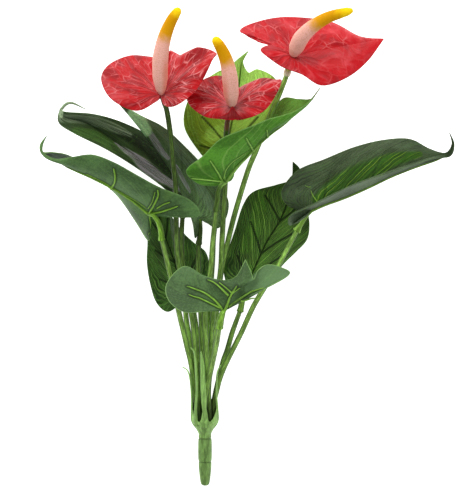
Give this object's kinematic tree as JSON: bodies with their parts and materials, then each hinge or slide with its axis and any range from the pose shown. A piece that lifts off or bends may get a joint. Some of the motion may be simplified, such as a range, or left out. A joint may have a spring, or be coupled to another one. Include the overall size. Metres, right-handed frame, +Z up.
{
  "type": "artificial anthurium spray",
  "caption": "Artificial anthurium spray lying on its back: red heart-shaped blooms with pink and yellow spadices, veined green leaves and thin stems gathered in a moulded green foot.",
  "frame": {"origin": "centre of the spray's bounding box in plan, on the surface that it lies on", "axes": "+Y runs from the foot towards the blooms, +X is to the right as seen from above with the blooms away, +Z is up from the surface"},
  "size_m": [0.3032, 0.3491, 0.1236],
  "materials": {
    "leaf_dark": "printed dark green with pale yellow-green veins, satin",
    "leaf_fresh": "printed fresh green with paler veins, satin",
    "rib_green": "moulded yellow-green plastic, satin",
    "stem_green": "moulded green plastic, satin",
    "foot_green": "moulded green plastic, satin",
    "spathe_red": "printed red with pale pink veins, satin",
    "spadix": "pink at the foot, turning orange-yellow to lemon at the tip, matt"
  },
  "bodies": {
    "root": {"foot": "foot_green", "stem_flower_1": "stem_green", "stem_flower_2": "stem_green", "stem_flower_3": "stem_green", "stem_leaf_a": "stem_green", "stem_leaf_b": "stem_green", "stem_leaf_c": "stem_green", "stem_leaf_d": "stem_green", "stem_leaf_e": "stem_green", "stem_leaf_f": "stem_green", "stem_leaf_g": "stem_green", "stem_leaf_h": "stem_green", "stem_leaf_i": "stem_green", "blade_a": "leaf_dark", "ribs_a": "rib_green", "blade_b": "leaf_dark", "ribs_b": "rib_green", "blade_c": "leaf_dark", "ribs_c": "rib_green", "blade_d": "leaf_dark", "ribs_d": "rib_green", "blade_e": "leaf_dark", "ribs_e": "rib_green", "blade_f": "leaf_dark", "ribs_f": "rib_green", "blade_g": "leaf_dark", "ribs_g": "rib_green", "blade_h": "leaf_fresh", "ribs_h": "rib_green", "blade_i": "leaf_fresh", "ribs_i": "rib_green", "spathe_1": "spathe_red", "spadix_1": "spadix", "spathe_2": "spathe_red", "spadix_2": "spadix", "spathe_3": "spathe_red", "spadix_3": "spadix"}
  },
  "joints": []
}
